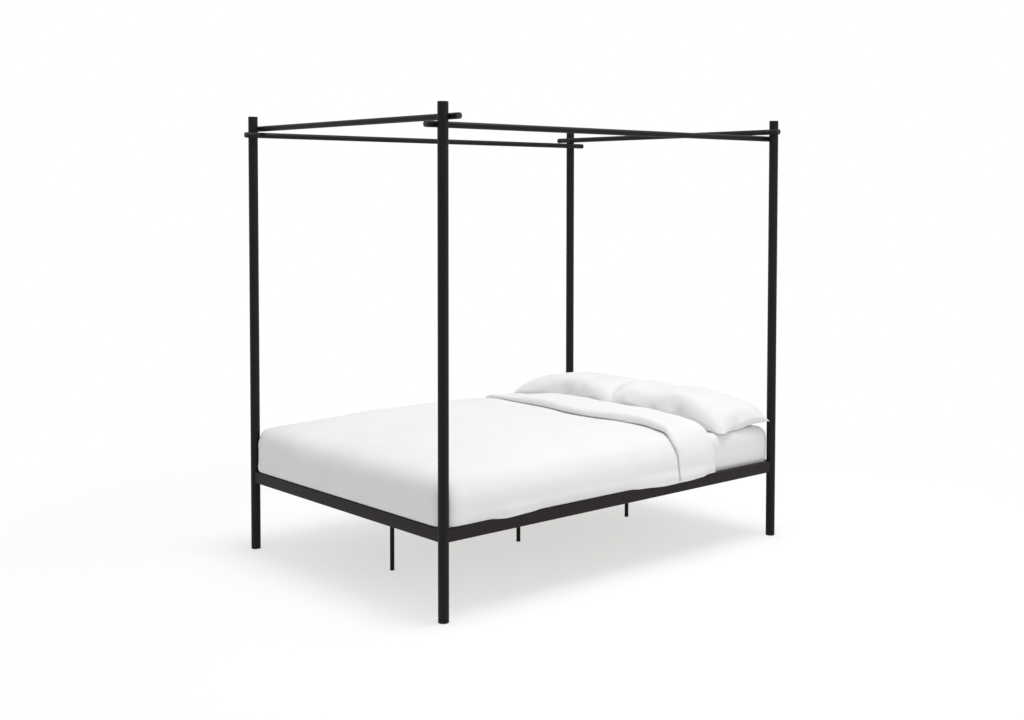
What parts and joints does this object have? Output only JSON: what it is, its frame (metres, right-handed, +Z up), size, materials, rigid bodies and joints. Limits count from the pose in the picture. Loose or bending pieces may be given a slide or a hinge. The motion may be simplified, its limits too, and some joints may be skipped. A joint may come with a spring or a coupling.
{
  "type": "four poster canopy bed",
  "caption": "Double four poster bed in slim black steel tube with crossing canopy rails, slatted base, mattress, duvet and pillows.",
  "frame": {"origin": "on the floor, at the middle of the bed", "axes": "+Z up, +Y to the head end with the pillows, +X to the right seen from the foot end"},
  "size_m": [1.516, 2.066, 1.96],
  "materials": {
    "black_steel": "satin black powder coat",
    "black_plastic": "matt moulded black",
    "black_zinc": "black zinc plate",
    "pine": "planed and unfinished",
    "mattress_ticking": "woven off-white",
    "white_cotton": "plain-woven white cotton"
  },
  "bodies": {
    "root": {"base_rail_foot": "black_steel", "base_rail_head": "black_steel", "base_rail_left": "black_steel", "base_rail_right": "black_steel", "canopy_bolt_foot_left": "black_zinc", "canopy_bolt_foot_right": "black_zinc", "canopy_bolt_head_left": "black_zinc", "canopy_bolt_head_right": "black_zinc", "canopy_bolt_left_foot": "black_zinc", "canopy_bolt_left_head": "black_zinc", "canopy_bolt_right_foot": "black_zinc", "canopy_bolt_right_head": "black_zinc", "canopy_rail_cap_foot_left": "black_plastic", "canopy_rail_cap_foot_right": "black_plastic", "canopy_rail_cap_head_left": "black_plastic", "canopy_rail_cap_head_right": "black_plastic", "canopy_rail_cap_left_foot": "black_plastic", "canopy_rail_cap_left_head": "black_plastic", "canopy_rail_cap_right_foot": "black_plastic", "canopy_rail_cap_right_head": "black_plastic", "canopy_rail_foot": "black_steel", "canopy_rail_head": "black_steel", "canopy_rail_left": "black_steel", "canopy_rail_right": "black_steel", "centre_leg_foot": "black_steel", "centre_leg_foot_foot": "black_plastic", "centre_leg_foot_head": "black_plastic", "centre_leg_foot_middle": "black_plastic", "centre_leg_head": "black_steel", "centre_leg_middle": "black_steel", "centre_rail": "black_steel", "corner_bolt_foot_left": "black_zinc", "corner_bolt_foot_right": "black_zinc", "corner_bolt_head_left": "black_zinc", "corner_bolt_head_right": "black_zinc", "corner_bracket_foot_left": "black_steel", "corner_bracket_foot_right": "black_steel", "corner_bracket_head_left": "black_steel", "corner_bracket_head_right": "black_steel", "duvet": "white_cotton", "fitted_sheet": "white_cotton", "mattress": "mattress_ticking", "pillow_left": "white_cotton", "pillow_right": "white_cotton", "post_cap_foot_left": "black_plastic", "post_cap_foot_right": "black_plastic", "post_cap_head_left": "black_plastic", "post_cap_head_right": "black_plastic", "post_foot_left": "black_steel", "post_foot_right": "black_steel", "post_glide_foot_left": "black_plastic", "post_glide_foot_right": "black_plastic", "post_glide_head_left": "black_plastic", "post_glide_head_right": "black_plastic", "post_head_left": "black_steel", "post_head_right": "black_steel", "slat_roll": "pine"}
  },
  "joints": []
}
